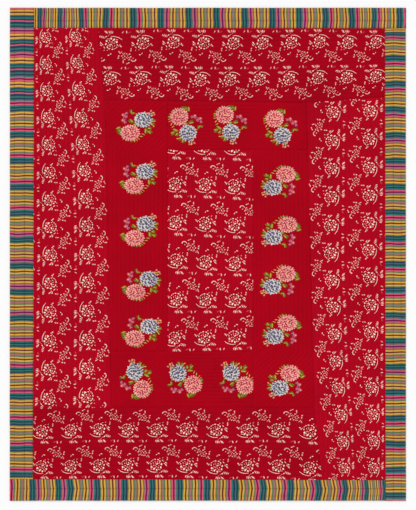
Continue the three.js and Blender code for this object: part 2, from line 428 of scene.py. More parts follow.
class OuterPanel(Piece):
    """A wide printed panel with straight channels along its outer seam."""

    ridge_sides = (2, 3)

    def plan_corners(self):
        """As for any piece, with the bend of its inner seam, the farthest out from that seam's ends."""
        corners = super().plan_corners()
        run_x, run_y = corners[3] - corners[2]
        points = points_of(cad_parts[self.node])[:, :2]
        bend = points[np.argmax(points @ (run_y, -run_x))]
        return np.insert(corners, 3, bend, axis=0)

    def grid(self):
        width, length = self.size()
        spare = QUILTING_PITCH
        runs = even_steps(-spare, length + spare, PLAIN_STEP)
        depths = channel_steps(-spare, width + spare, QUILTING_PITCH)
        return runs, depths, self.strayed

    def strayed(self, run, depth):
        return self.to_plan(run, depth + line_wander(run, depth, FIRST_CORNER[self.side]))

    def level(self, plan):
        run, depth = self.local(plan)
        return (depth - line_wander(run, depth, FIRST_CORNER[self.side])) / QUILTING_PITCH

    def stitch_lines(self):
        for line in range(1, math.ceil(self.size()[0] / QUILTING_PITCH)):
            shift = random.Random(f"{self.node} {line}").uniform(0, STITCH_SPACING)
            yield self.stitch_line(line * QUILTING_PITCH, shift)


CENTRE_BOX = np.array([list(corner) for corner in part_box("centre_panel")])[:, :2]
ROUND_MIDDLE = (CENTRE_BOX[0] + CENTRE_BOX[1]) / 2
ROUND_HALF = (CENTRE_BOX[1] - CENTRE_BOX[0]) / 2
ROUND_PITCH = np.array(FRAME_STRIP_WIDTHS) / ROUNDS_IN_FRAME


class RoundPanel(Piece):
    """The centre or a strip of its frame, quilted in rounds about the centre."""

    ridge_sides = ()

    def __init__(self, node, side, plain_inside):
        super().__init__(node, side)
        self.plain_inside = plain_inside

    def axis_steps(self, axis):
        """Places along one axis: a few to each round, and plain steps within the innermost round."""
        reach_low, reach_high = np.min(self.corners[:, axis]), np.max(self.corners[:, axis])
        middle, half, pitch = ROUND_MIDDLE[axis], ROUND_HALF[axis], ROUND_PITCH[axis]
        inner = half + pitch * self.plain_inside
        beyond = [inner + pitch * (line + part) for line in range(ROUNDS_OUTWARD) for part in CHANNEL_PARTS]
        places = [middle + sign * place for sign in (-1, 1) for place in beyond]
        places += even_steps(middle - inner, middle + inner, PLAIN_STEP)[1:-1]
        spare = 2 * PLAIN_STEP
        return sorted(place for place in places if reach_low - spare <= place <= reach_high + spare)

    def grid(self):
        return self.axis_steps(0), self.axis_steps(1), self.strayed

    def wander(self, x, y):
        """How far the rounds stray, across and along."""
        return np.column_stack([line_wander(x, y, SEEDS[f"rounds in {axis}"]) for axis in "xy"])

    def strayed(self, x, y):
        return np.column_stack([x, y]) + self.wander(x, y)

    def sides_level(self, plan):
        """How many rounds out from the centre panel the points lie, across and along."""
        ruled = plan - self.wander(*plan.T)
        return ((np.abs(ruled - ROUND_MIDDLE) - ROUND_HALF) / ROUND_PITCH).T

    def level(self, plan):
        a, b = self.sides_level(plan)
        return np.maximum(np.maximum(a, b), (a + b) / math.sqrt(2) + CORNER_CUT)

    def way_along(self, plan, centres, faces):
        """Distance along the upright, level or slanting side of the round that each face lies on."""
        upright, across = self.sides_level(centres) >= self.level(centres) - SAME_LEVEL
        x, y = plan.T
        slant = (np.abs(x) - np.abs(y)) / math.sqrt(2)
        return np.where(upright[faces], y, np.where(across[faces], x, slant))

    def stitch_lines(self):
        for level in ROUND_LEVELS:
            ruled, ways = walk(round_corners(level), STITCH_SPACING)
            yield self.strayed(*ruled.T), ways


def round_corners(level):
    """The eight corners of one quilting round, anticlockwise."""
    short_level = level * (math.sqrt(2) - 1) - CORNER_CUT * math.sqrt(2)
    far = ROUND_HALF + ROUND_PITCH * level
    near = ROUND_HALF + ROUND_PITCH * short_level
    quarter = [(far[0], near[1]), (near[0], far[1])]
    signs = ((1, 1), (-1, 1), (-1, -1), (1, -1))
    corners = []
    for turn, (sign_x, sign_y) in enumerate(signs):
        ordered = quarter if turn % 2 == 0 else quarter[::-1]
        corners += [ROUND_MIDDLE + (sign_x * x, sign_y * y) for x, y in ordered]
    return np.array(corners)


def walk(corners, spacing):
    """Evenly spaced points along a closed line, with the way it runs at each."""
    ends = np.roll(corners, -1, axis=0)
    lengths = np.linalg.norm(ends - corners, axis=1)
    starts = np.concatenate([[0], np.cumsum(lengths)])
    places = np.arange(0, starts[-1], spacing)
    leg = np.clip(np.searchsorted(starts, places, side="right") - 1, 0, len(corners) - 1)
    ways = (ends - corners) / lengths[:, None]
    return corners[leg] + (places - starts[leg])[:, None] * ways[leg], ways[leg]


class Binding(Piece):
    """A striped edge strip, folded at its outer side and its start, sewn down along its own line."""

    ridge_sides = (2,)

    def __init__(self, node, side):
        super().__init__(node, side)
        self.sewn = (False, True, True, False)
        self.line = BINDING_LINES[side]

    def plan_corners(self):
        """As for any piece, with the outer side and the start squared up to the quilt's outline."""
        corners = super().plan_corners()
        (outer_axis, outer_end), (start_axis, start_end) = OUTLINE_SIDES[self.side]
        corners[:2, outer_axis] = cad_box[outer_end][outer_axis]
        corners[[0, 3], start_axis] = cad_box[start_end][start_axis]
        return corners

    def grid(self):
        width, length = self.size()
        runs = list(FOLD_STEPS) + even_steps(PLAIN_RUNS_FROM, length + BINDING_SPARE, PLAIN_STEP)
        plain = even_steps(PLAIN_DEPTHS_FROM, width + BINDING_SPARE, BINDING_STEP)
        depths = [place for place in plain if abs(place - self.line) > LINE_STEPS_REACH]
        depths += [*FOLD_STEPS, *HEM_STEPS, *(self.line + step for step in LINE_STEPS)]
        return runs, sorted(depths), self.strayed

    def edge_stray(self, run):
        """How far in from its ruled place the folded edge lies."""
        return EDGE_STRAY * (1 + rolling_along(run, EDGE_WAVE, SEEDS["edge"] + FIRST_CORNER[self.side]))

    def strayed(self, run, depth):
        width = self.size()[0]
        return self.to_plan(run, depth + self.edge_stray(run) * np.clip(1 - depth / width, 0, 1))

    def inset(self, plan):
        rows = super().inset(plan)
        run, depth = self.local(plan)
        width = self.size()[0]
        stray = self.edge_stray(run)
        rows[0] = np.maximum(0, (depth - stray) / (1 - stray / width))
        return rows

    def level(self, plan):
        """Three channels: edge to hem line, hem line to stitch line, stitch line to seam."""
        depth = self.inset(plan)[0]
        return np.interp(depth, [0, HEM_LINE, self.line, self.size()[0]], [0, 1, 2, 3])

    def stitch_lines(self):
        for depth in (HEM_LINE, self.line):
            yield self.stitch_line(depth)


# Relief of the cloth


def puff(piece, plan):
    """0 on a stitch line, 1 in the middle of a channel."""
    if isinstance(piece, Binding):
        depth = piece.inset(plan)[0]
        hem = np.clip(1 - np.abs(depth - HEM_LINE) / BINDING_VALLEY, 0, 1) ** PUFF_POWER
        line = np.clip(1 - np.abs(depth - piece.line) / BINDING_VALLEY, 0, 1) ** PUFF_POWER
        return 1 - np.maximum(line, hem * HEM_DEPTH / BINDING_DEPTH)
    return 1 - np.abs(2 * (piece.level(plan) % 1) - 1) ** PUFF_POWER


def channel_fullness(piece, plan):
    """Each channel holds a little more or less filling than the next."""
    by_channel, by_side, spread = FILLING_SHUFFLE
    turn = np.floor(piece.level(plan)) * by_channel + FIRST_CORNER[piece.side] * by_side
    return FILLING_LEAST + FILLING_SPREAD * (np.abs(np.sin(turn) * spread) % 1)


def crease_depth(plan):
    """How far the old folds press the cloth down."""
    depth = np.zeros(len(plan))
    for axis, place, (start, end), half_width, deep in CREASES:
        across, run = plan[:, axis] - place, plan[:, 1 - axis]
        across = across - CREASE_STRAY * rolling_along(run, LONG_WAVE, SEEDS["creases"] + axis)
        reach = np.clip((run - start) / CREASE_FADE, 0, 1) * np.clip((end - run) / CREASE_FADE, 0, 1)
        depth += deep * reach * np.exp(-((across / half_width) ** 2))
    return depth


def face_and_back(piece, plan):
    """Heights of the printed face and of the reverse at each point of the plan."""
    x, y = plan.T
    raised = puff(piece, plan)
    fullness = (1 + layered(x, y, LUMP_WAVES, SEEDS["lumps"])) * channel_fullness(piece, plan)
    puckers = PUCKER_HEIGHT * rolling(x, y, PUCKER_WAVE, SEEDS["puckers"])
    face = STITCH_HEIGHT + (CROWN_HEIGHT - STITCH_HEIGHT) * raised * fullness
    face += puckers * (1 + PUCKER_ON_CROWN - raised)
    face -= crease_depth(plan) * (CREASE_AT_LINE + (1 - CREASE_AT_LINE) * raised)
    back = BACK_RISE * (1 - raised) ** BACK_POWER
    rows = piece.inset(plan)
    if piece.ridge_sides:
        from_seam = np.min(rows[list(piece.ridge_sides)], axis=0) - ALLOWANCE_FROM_SEAM
        face += ALLOWANCE_HEIGHT * np.exp(-((from_seam / ALLOWANCE_SPREAD) ** 2))
    for distance, sewn in zip(rows, piece.sewn):
        if sewn:
            share = np.sin(np.clip(distance / SEAM_RUN, 0, 1) * math.pi / 2)
            face = SEAM_HEIGHT + (face - SEAM_HEIGHT) * share
            back = BACK_RISE + (back - BACK_RISE) * share
        else:
            share = np.sqrt(1 - (1 - np.clip(distance / FOLD_RUN, 0, 1)) ** 2)
            face = FOLD_HEIGHT + FOLD_LIP + (face - FOLD_HEIGHT - FOLD_LIP) * share
            back = (FOLD_HEIGHT - FOLD_LIP) * (1 - share) + back * share
    return face, np.maximum(back, 0)


# Building the cloth


def laid_grid(name, first_steps, second_steps, to_plan):
    """A grid with a column at each first step and a row at each second one."""
    columns, rows = len(first_steps) - 1, len(second_steps) - 1
    bpy.ops.object.select_all(action="DESELECT")
    bpy.ops.mesh.primitive_grid_add(x_subdivisions=columns, y_subdivisions=rows, size=1)
    cloth = bpy.context.object
    cloth.name = name
    cloth.data.name = name
    unit = points_of(cloth)[:, :2] + 0.5
    first = np.array(first_steps)[np.rint(unit[:, 0] * columns).astype(int)]
    second = np.array(second_steps)[np.rint(unit[:, 1] * rows).astype(int)]
    put_points(cloth, np.column_stack([to_plan(first, second), np.zeros(len(unit))]))
    return cloth


def cut_and_back(cloth, piece):
    """Cuts the cloth along its sewn sides and gives it its reverse face."""
    bpy.ops.object.mode_set(mode="EDIT")
    for corner, inward, sewn in zip(piece.corners, piece.inward, piece.sewn):
        if sewn:
            bpy.ops.mesh.select_all(action="SELECT")
            bpy.ops.mesh.bisect(plane_co=(*corner, 0), plane_no=(*-inward, 0), clear_outer=True)
    bpy.ops.mesh.select_all(action="SELECT")
    bpy.ops.mesh.remove_doubles(threshold=WELD)
    bpy.ops.mesh.extrude_region_move(TRANSFORM_OT_translate={"value": (0, 0, -SEAM_HEIGHT)})
    bpy.ops.mesh.select_all(action="SELECT")
    bpy.ops.mesh.normals_make_consistent(inside=False)
    bpy.ops.object.mode_set(mode="OBJECT")


def quilt_cloth(piece):
    """The cloth of one piece, with its quilting raised on the face and, lower, on the reverse."""
    cloth = laid_grid("cloth_" + piece.node, *piece.grid())
    cut_and_back(cloth, piece)
    points = points_of(cloth)
    face, back = face_and_back(piece, points[:, :2])
    points[:, 2] = np.where(points[:, 2] < -SEAM_HEIGHT / 2, back, face)
    put_points(cloth, points)
    bpy.ops.object.shade_smooth_by_angle(angle=math.radians(SMOOTH_ANGLE))
    return cloth


def loop_plan(cloth):
    """Each face corner's point in plan, each face's middle in plan, and each face corner's face."""
    mesh = cloth.data
    corner_points = read(mesh.loops, "vertex_index", kind=np.int32)
    centres = read(mesh.polygons, "center", 3)[:, :2]
    faces = np.repeat(np.arange(len(centres)), read(mesh.polygons, "loop_total", kind=np.int32))
    return points_of(cloth)[corner_points][:, :2], centres, faces


def add_map(cloth, name, pairs):
    layer = cloth.data.uv_layers.new(name=name)
    layer.uv.foreach_set("vector", np.ascontiguousarray(pairs, dtype=np.float32).ravel())


def map_quilting(cloth, piece):
    """Across: the number of the channel. Along: millimetres along the stitch line, face by face."""
    corners = loop_plan(cloth)
    along = piece.way_along(*corners) * MM_IN_METRE
    add_map(cloth, "quilting", np.column_stack([piece.level(corners[0]), along]))


def turned(plan, degrees):
    """The plan along axes that are turned by this angle."""
    turn = math.radians(degrees)
    return plan @ np.array([[math.cos(turn), -math.sin(turn)], [math.sin(turn), math.cos(turn)]])


def map_print(cloth, piece):
    """One unit to each repeat of the flower print, with a flower at whole numbers.

    Past the last row on an outer panel the cloth is left bare up to its inner seam.
    """
    run_axis = 0 if piece.side in ("bottom", "top") else 1

    def terms(plan):
        """As many terms as there are pins, for a print that is a little bent and stretched."""
        across, along = plan[:, 1 - run_axis], plan[:, run_axis]
        return np.column_stack([across ** 0, across, along, across * along, along ** 2, across * along ** 2])

    pins = np.array(PRINT_PINS[piece.node])
    weights = np.linalg.solve(terms(pins[:, 2:]), pins[:, :2])
    plan, centres, faces = loop_plan(cloth)
    x, y = plan.T
    drift = np.column_stack([rolling(x, y, LONG_WAVE, SEEDS[f"print in {axis}"]) for axis in "xy"])
    pairs = terms(plan + drift * PRINT_DRIFT) @ weights
    if isinstance(piece, OuterPanel):
        turned_under = (terms(centres) @ weights)[:, 1] < PRINT_STOPS_AT
        pairs[turned_under[faces]] = BARE_PLACE
    add_map(cloth, "print", pairs)


def map_bouquets(cloth, piece):
    """Millimetres from the middle of the nearest bouquet, along its own axes."""
    stretch, bouquets = BOUQUETS[piece.side]
    plan, centres, faces = loop_plan(cloth)
    places = np.array(bouquets)[:, :2]
    away = np.linalg.norm(centres[:, None, :] - places[None], axis=2)
    nearest = np.argmin(away, axis=1)[faces]
    pairs = np.zeros_like(plan)
    for number, (x, y, turn) in enumerate(bouquets):
        mine = nearest == number
        pairs[mine] = turned((plan[mine] - (x, y)) / stretch, turn) * MM_IN_METRE
    add_map(cloth, "bouquet", pairs)


def repeat_at(place, pins):
    """The stripes' repeat at each place, read off the pins and carried on past them."""
    spots, repeats = np.array(sorted(pins)).T
    slopes = np.diff(repeats) / np.diff(spots)
    before, after = np.minimum(place - spots[0], 0), np.maximum(place - spots[-1], 0)
    return np.interp(place, spots, repeats) + before * slopes[0] + after * slopes[-1]


def map_stripes(cloth, piece):
    """Repeats of the stripes along the strip, and whether the other run of stripes lies there."""
    axis, pins = STRIPE_PINS[piece.side]
    plan, centres, faces = loop_plan(cloth)
    middle = centres[faces, axis]
    place, depth = plan[:, axis], piece.inset(plan)[0]
    pulled = sum(
        reach * rolling(place, change * depth, length, SEEDS["stripe pull"] + number)
        for number, (reach, length, change) in enumerate(STRIPE_PULLS)
    )
    dragged = DRAG_SHARE + DRAG_SPREAD * rolling_along(place, LONG_WAVE, SEEDS["stripe drag"])
    dragged = dragged * STRIPE_DRAG[piece.side]
    place = place + pulled - dragged * np.interp(depth, [0, piece.line, piece.size()[0]], [0, 1, 0])
    count = repeat_at(place, pins)
    other = np.full_like(count, -1.0)
    if piece.side == "bottom":
        count = np.where(middle < TURNED_SEAM, 2 * TURNED_REPEAT - count, count)
    elif piece.side == "left":
        other = np.where(middle > OTHER_STRIPES_FROM, 1.0, -1.0)
        count = np.where(other > 0, (place - max(pins)[0]) / OTHER_STRIPE_REPEAT, count)
    add_map(cloth, "stripes", np.column_stack([count, other]))


# Shader nodes


class Nodes:
    """Adds nodes to one tree. A value given to a node is a plain value or another node's output."""

    def __init__(self, tree):
        self.tree = tree

    def add(self, kind, values=None, **settings):
        node = self.tree.nodes.new(kind if kind.startswith("Node") else "ShaderNode" + kind)
        for name, setting in settings.items():
            setattr(node, name, setting)
        for socket, value in (values or {}).items():
            if isinstance(value, bpy.types.NodeSocket):
                self.tree.links.new(value, node.inputs[socket])
            else:
                node.inputs[socket].default_value = value
        return node

    def group(self, name, values):
        return self.add("Group", values, node_tree=bpy.data.node_groups[name]).outputs

    def place(self):
        """Places on the quilt."""
        return self.add("TexCoord").outputs["Object"]

    def map(self, name):
        """A cloth's own map of this name."""
        return self.add("UVMap", None, uv_map=name).outputs[0]

    def math(self, operation, *values):
        return self.add("Math", dict(enumerate(values)), operation=operation).outputs[0]

    def plus(self, first, second):
        return self.math("ADD", first, second)

    def minus(self, first, second):
        return self.math("SUBTRACT", first, second)

    def times(self, first, second):
        return self.math("MULTIPLY", first, second)

    def most(self, first, second):
        return self.math("MAXIMUM", first, second)

    def scaled(self, value, factor, shift):
        """A value times a factor, added to a shift."""
        return self.math("MULTIPLY_ADD", value, factor, shift)

    def fade(self, value, start, end, low=0.0, high=1.0):
        values = {"Value": value, "From Min": start, "From Max": end, "To Min": low, "To Max": high}
        return self.add("MapRange", values, interpolation_type="SMOOTHSTEP").outputs[0]

    def vector(self, operation, *values):
        node = self.add("VectorMath", dict(enumerate(values)), operation=operation)
        return node.outputs["Value" if operation == "LENGTH" else "Vector"]

    def split(self, vector):
        return self.add("SeparateXYZ", {0: vector}).outputs

    def noise(self, place, scale, detail=2.0, stretch=(1, 1, 1), output=0):
        place = self.vector("MULTIPLY", place, stretch)
        return self.add("TexNoise", {"Vector": place, "Scale": scale, "Detail": detail}).outputs[output]

    def shaken(self, place, scale, reach):
        """The place moved about unevenly, over this reach at most."""
        draw = self.noise(place, scale, output="Color")
        draw = self.vector("SUBTRACT", draw, (0.5, 0.5, 0.5))
        return self.vector("ADD", place, self.vector("MULTIPLY", draw, reach))

    def mix(self, share, under, over):
        """One colour over another. The numbers are those of the node's colour sockets."""
        return self.add("Mix", {0: share, 6: under, 7: over}, data_type="RGBA").outputs[2]

    def ramp(self, value, stops, sharp=False):
        """The dye at this value. Each stop is a place from 0 to 1 and a dye's name."""
        node = self.add("ValToRGB", {0: value})
        ramp = node.color_ramp
        ramp.interpolation = "CONSTANT" if sharp else "LINEAR"
        ramp.elements.remove(ramp.elements[1])
        ramp.elements[0].position = stops[0][0]
        ramp.elements[0].color = dye(stops[0][1])
        for place, name in stops[1:]:
            ramp.elements.new(place).color = dye(name)
        return node.outputs[0]

    def surface(self, values):
        """Ends a material with these values of its surface."""
        shader = self.add("BsdfPrincipled", values).outputs[0]
        self.add("OutputMaterial", {"Surface": shader})


def start_group(name, inputs, outputs):
    """A new node group with named sockets: its nodes and what it is given."""
    tree = bpy.data.node_groups.new(name, "ShaderNodeTree")
    for sockets, way in ((inputs, "INPUT"), (outputs, "OUTPUT")):
        for label, kind in sockets.items():
            tree.interface.new_socket(label, in_out=way, socket_type="NodeSocket" + kind)
    nodes = Nodes(tree)
    return nodes, nodes.add("NodeGroupInput").outputs


def end_group(nodes, results):
    nodes.add("NodeGroupOutput", results)


# Cotton: how fine its threads, slubs, patches and mottle are, how they show in the dye's tone and the relief,
# and painted shade near and along the stitch lines. A fade has its start and end, then the values there.
THREAD_TURNS = 4488.0
SLUB_SCALE = 60.0
SLUB_STRETCH = 14
PATCH_SCALE = 5.0
MOTTLE_SCALE = 38.0
FINE_DETAIL = 3.0
WRINKLE_STRETCH = (1.1, 0.16, 1)
NEARNESS_POWER = 2.5
AT_LINE_FADE = (0.86, 0.99)
HOLE_FADE = (-0.2, -1.0)
PATCH_TONE_FADE = (0.25, 0.75, 0.93, 1.07)
MOTTLE_TONE_FADE = (0.2, 0.8, -0.05, 0.05)
MOTTLE_ROUGHNESS_FADE = (0.2, 0.8, 0.80, 0.92)
LINE_SHADE_PATCH_FADE = (0.35, 0.6, 0.4, 1.0)
SLUB_TONE = 0.22
WEAVE_TONE = 0.03
NEAR_LINE_PAINTED_SHADE = -0.03
WEAVE_RELIEF = 0.05
SLUB_RELIEF = 0.18
WRINKLE_RELIEF = 1.5
HOLE_RELIEF = -0.5
# How dark the painted shade along the stitch lines is, on the quilted pieces and on the bindings
LINE_SHADE = 0.02
BINDING_LINE_SHADE = 0.36


def quilted_cotton_group():
    """Plain-woven cotton drawn in by its stitches: dye tone with painted shade at its stitch lines, roughness
    and fine relief.
    """
    nodes, given = start_group(
        "quilted cotton",
        {"Cloth": "Vector", "Quilting": "Vector", "Line Shade": "Float"},
        {"Tone": "Float", "Roughness": "Float", "Height": "Float"},
    )
    cloth, quilting = given["Cloth"], given["Quilting"]
    threads = nodes.split(nodes.vector("MULTIPLY", cloth, (THREAD_TURNS, THREAD_TURNS, 0.0)))
    weave = nodes.times(nodes.math("SINE", threads[0]), nodes.math("SINE", threads[1]))
    warp = nodes.noise(cloth, SLUB_SCALE, stretch=(SLUB_STRETCH, 1, 1))
    weft = nodes.noise(cloth, SLUB_SCALE, stretch=(1, SLUB_STRETCH, 1))
    slubs = nodes.plus(warp, weft)
    parts = nodes.split(quilting)
    from_middle = nodes.math("ABSOLUTE", nodes.minus(nodes.math("FRACT", parts[0]), 0.5))
    nearness = nodes.times(from_middle, 2.0)
    near_line = nodes.math("POWER", nearness, NEARNESS_POWER)
    at_line = nodes.fade(nearness, *AT_LINE_FADE)
    wrinkles = nodes.noise(quilting, 1.0, stretch=WRINKLE_STRETCH)
    drawn_in = nodes.times(nodes.minus(wrinkles, 0.5), near_line)
    beat = nodes.math("SINE", nodes.times(parts[1], math.tau / (STITCH_SPACING * MM_IN_METRE)))
    holes = nodes.times(at_line, nodes.fade(beat, *HOLE_FADE))
    patches = nodes.noise(cloth, PATCH_SCALE, FINE_DETAIL)
    mottle = nodes.noise(cloth, MOTTLE_SCALE, FINE_DETAIL)
    tone = nodes.plus(nodes.fade(patches, *PATCH_TONE_FADE), nodes.fade(mottle, *MOTTLE_TONE_FADE))
    tone = nodes.scaled(nodes.minus(slubs, 1.0), SLUB_TONE, tone)
    tone = nodes.scaled(weave, WEAVE_TONE, tone)
    # Painted shade: the cloth is a little darker near each stitch line, where the channels dip
    tone = nodes.scaled(near_line, NEAR_LINE_PAINTED_SHADE, tone)
    # Painted shade: a darker, patchy band right along each stitch line, and on the bindings along the folded
    # edge and the seam
    painted_line_shade = nodes.times(at_line, nodes.fade(patches, *LINE_SHADE_PATCH_FADE))
    tone = nodes.minus(tone, nodes.times(painted_line_shade, given["Line Shade"]))
    height = nodes.times(weave, WEAVE_RELIEF)
    height = nodes.scaled(slubs, SLUB_RELIEF, height)
    height = nodes.scaled(drawn_in, WRINKLE_RELIEF, height)
    height = nodes.scaled(holes, HOLE_RELIEF, height)
    roughness = nodes.fade(mottle, *MOTTLE_ROUGHNESS_FADE)
    end_group(nodes, {"Tone": tone, "Roughness": roughness, "Height": height})


# Each dab of ink is a place, a turn in degrees, a half length and a half width. Here: a curved stroke's share
# of width at its ends and the length of its dabs, and how far the halves of a leaf lie aside and lean out.
ARC_THIN_END = 0.55
ARC_DAB_LENGTH = 0.85
HALF_LEAF_ASIDE = 0.48
HALF_LEAF_WIDTH = 0.50
HALF_LEAF_LEAN = 6.8755
LEAF_RIM = 1.8


def dab_field(nodes, place, dabs):
    """How deep a place lies in the nearest dab: 1 in its middle, 0 on its rim and outside."""
    deepest = 0.0
    for x, y, turn, long, wide in dabs:
        rotation = (0, 0, math.radians(turn))
        values = {"Vector": place, "Location": (x, y, 0), "Rotation": rotation, "Scale": (long, wide, 1)}
        own = nodes.add("Mapping", values, vector_type="TEXTURE").outputs[0]
        depth = nodes.add("TexGradient", {"Vector": own}, gradient_type="SPHERICAL").outputs[1]
        deepest = nodes.most(depth, deepest)
    return deepest


def grown(dabs, by):
    """The dabs, larger all round."""
    return [(x, y, turn, long + by, wide + by) for x, y, turn, long, wide in dabs]


def brush_arc(middle, radius, start, end, wide, count):
    """One curved stroke, thinner at its ends, as overlapping dabs."""
    step = (end - start) / (count - 1)
    long = abs(radius * math.radians(step)) * ARC_DAB_LENGTH
    for number in range(count):
        turn = start + step * number
        angle = math.radians(turn)
        full = ARC_THIN_END + (1 - ARC_THIN_END) * math.sin(math.pi * (number + 0.5) / count)
        x, y = middle[0] + radius * math.cos(angle), middle[1] + radius * math.sin(angle)
        yield x, y, turn + 90, long, wide * full


def split_leaf(x, y, turn, long, wide):
    """A leaf as its two halves, side by side."""
    angle, aside = math.radians(turn), wide * HALF_LEAF_ASIDE
    for half in (-1, 1):
        half_x, half_y = x - math.sin(angle) * aside * half, y + math.cos(angle) * aside * half
        yield half_x, half_y, turn + HALF_LEAF_LEAN * half, long, wide * HALF_LEAF_WIDTH


# The print's two flowers, as dabs in millimetres from the middle of each. The curved stroke of each has its
# middle, radius, start and end in degrees, half width and number of dabs.
LARGE_PETALS = (
    (-4, 22, 95, 6.2, 3.9), (8, 17, 55, 6.6, 4.5), (20, 6, 70, 6.5, 4.3), (-23, 10, 100, 6.0, 4.0),
    (-26, -5, 80, 5.9, 3.8), (-6, -7, 30, 8.2, 3.0), (-19, -20, 110, 5.2, 2.8), (-11, -27, -15, 4.8, 2.8),
    (3, -29, 5, 5.0, 2.5), (22, -8, 90, 4.1, 2.0), (-11, 12, 100, 3.6, 1.5), (-4, 6, 60, 3.1, 1.2),
    (-14, 2, 70, 3.2, 1.3), (9, 0, 60, 4.1, 1.5), (20, 17, -10, 5.4, 1.3), (-18, 20, 40, 4.0, 1.2),
    (3, -19, 20, 3.0, 0.9), (-32, -22, -50, 7.2, 1.6), (13, -26, 25, 4.5, 1.3), (20, -20, 45, 4.6, 1.6),
    (3, 12, 75, 3.6, 1.5), (14, 9, 45, 3.6, 1.4), (-17, -11, 60, 3.8, 1.6), (-8, -16, 10, 3.8, 1.5),
    (2, 2, 30, 2.6, 1.2), (-12, 20, 60, 3.2, 1.3), (11, -12, 100, 3.4, 1.2), (2, -12, 70, 3.0, 1.0),
)
LARGE_ARC = ((4, -18), 50.5, 98, 47, 1.4, 8)
LARGE_LEAVES = (
    (-26, 31, 42, 5.8, 2.3), (-17, 36, 35, 4.4, 0.5), (-10, 42, 75, 3.6, 0.5), (-52, 31, 62, 5.0, 1.3),
    (-45, 30, 62, 7.0, 1.5), (-38, 28, 60, 7.0, 1.6), (-33, 24, 50, 4.0, 1.2), (-28, 55, 150, 8.0, 1.7),
    (-24, 50, 150, 7.5, 1.6), (-13, 53, 105, 7.4, 1.5), (-6, 53, 85, 8.2, 1.8), (1, 52, 75, 6.4, 1.6),
    (-46, -1, -48, 8.6, 1.9), (-46, -12, -22, 6.2, 2.0), (-39, -8, -40, 4.5, 1.1), (34, -10, -62, 6.0, 1.5),
    (39, -16, -30, 4.4, 2.0), (28, -13, 20, 3.6, 1.1), (44, 52, 62, 6.5, 1.2),
    (60, 53, 98, 7.5, 1.6), (69, 51, 58, 5.5, 1.2), (-13, -58, -10, 5.2, 2.1), (-4, -52, 55, 5.2, 1.3),
    (-32, -36, 60, 3.6, 1.0), (-18, -34, 30, 3.2, 1.0),
)
LARGE_PALE = (
    (-25, 53, 155, 13.5, 8.5), (-5, 53, 88, 11.0, 9.5), (-45, 29, -25, 13.5, 8.0), (-45, -7, -42, 11.0, 6.5),
    (37, -13, -55, 9.0, 5.0), (44, 52, 62, 9.0, 3.8), (61, 53, 98, 9.5, 5.0), (69, 51, 55, 7.0, 3.8),
    (-60, 51, 30, 7.0, 3.2),
)
SMALL_PETALS = (
    (-21, 2, 0, 3.9, 2.3), (-16, -6, 0, 3.6, 2.2), (-8, 0, 0, 3.6, 2.1), (-8, -14, 0, 4.7, 2.3),
    (-2, -6, 60, 3.1, 1.2), (3, 2, 80, 3.5, 1.3), (4, -9, 100, 3.6, 1.3), (-15, 8, 60, 3.1, 1.2),
    (-1, 13, 50, 4.3, 2.2), (-10, 15, 5, 4.8, 1.3), (-17, 14, 40, 3.1, 1.1), (13, 11, 95, 5.2, 2.1),
    (17, -3, 40, 4.7, 2.5), (11, -16, 35, 5.6, 2.0), (14, -9, 60, 2.8, 1.0), (-9, 7, 30, 3.1, 1.2),
    (6, 8, 60, 3.3, 1.3), (9, -6, 80, 3.1, 1.2),
)
SMALL_ARC = ((30, -13), 11.6, 210, 325, 2.1, 6)
SMALL_LEAVES = (
    (18, 36, 80, 4.3, 2.4), (17, 27, 95, 4.6, 1.9), (-33, 22, 115, 6.9, 1.6), (-29, 15, 90, 3.1, 1.7),
    (-23, 20, 60, 4.3, 1.3), (-34, 3, 80, 4.7, 2.5), (-36, -8, 30, 5.2, 1.9), (-14, -27, 92, 6.9, 2.2),
    (-14, -18, 70, 3.0, 1.2), (10, -31, 20, 4.8, 2.2), (2, -35, 12, 4.3, 1.6), (28, -10, 20, 3.5, 1.4),
    (39, -18, 60, 4.7, 2.7),
)
SMALL_PALE = (
    (17, 31, 95, 9.5, 5.0), (-35, -2, 80, 10.0, 5.0), (-29, 19, 100, 8.0, 6.0), (-15, -26, 88, 9.0, 4.0),
    (7, -33, 25, 9.0, 4.0),
)

# Each printed flower: its place in the repeat, how full its ink is, its curved stroke, dabs and pale washes
PRINTED_FLOWERS = (
    ((0.0, 0.0, 0.0), 1.0, LARGE_ARC, LARGE_PETALS + LARGE_LEAVES, LARGE_PALE),
    ((0.479, -0.370, 0.0), 0.84, SMALL_ARC, SMALL_PETALS + SMALL_LEAVES, SMALL_PALE),
)

# The print's ink: one repeat in millimetres, how it bled, frayed and wore off, and its edges
PRINT_CELL_MM = (134.0, 172.0, 0.0)
HALF_CELL = (0.5, 0.5, 0.0)
PRINT_BLEED = 0.2
PRINT_SHAKE_SCALE = 26.0
PRINT_SHAKE = (0.020, 0.016, 0.0)
INK_GRAIN_SCALE = 110.0
INK_GRAIN_DETAIL = 1.0
INK_INSIDE_FADE = (0.0, 0.1)
INK_RAGGED = 0.5
PRINT_EDGE_FADE = (0.0, 0.46)
INK_WEAR_SCALE = 9.0
INK_WEAR_FADE = (0.25, 0.7, 0.88, 1.0)
SPECKLE_FADE = (2 / 9, 7 / 9, 0.35, 1.0)
WASH_FADE = (0.0, 0.45)
PALE_INK = 0.34
INK_RIM_FADE = (0.0, 0.5)
INK_BODY_FADE = (0.35, 1.0)


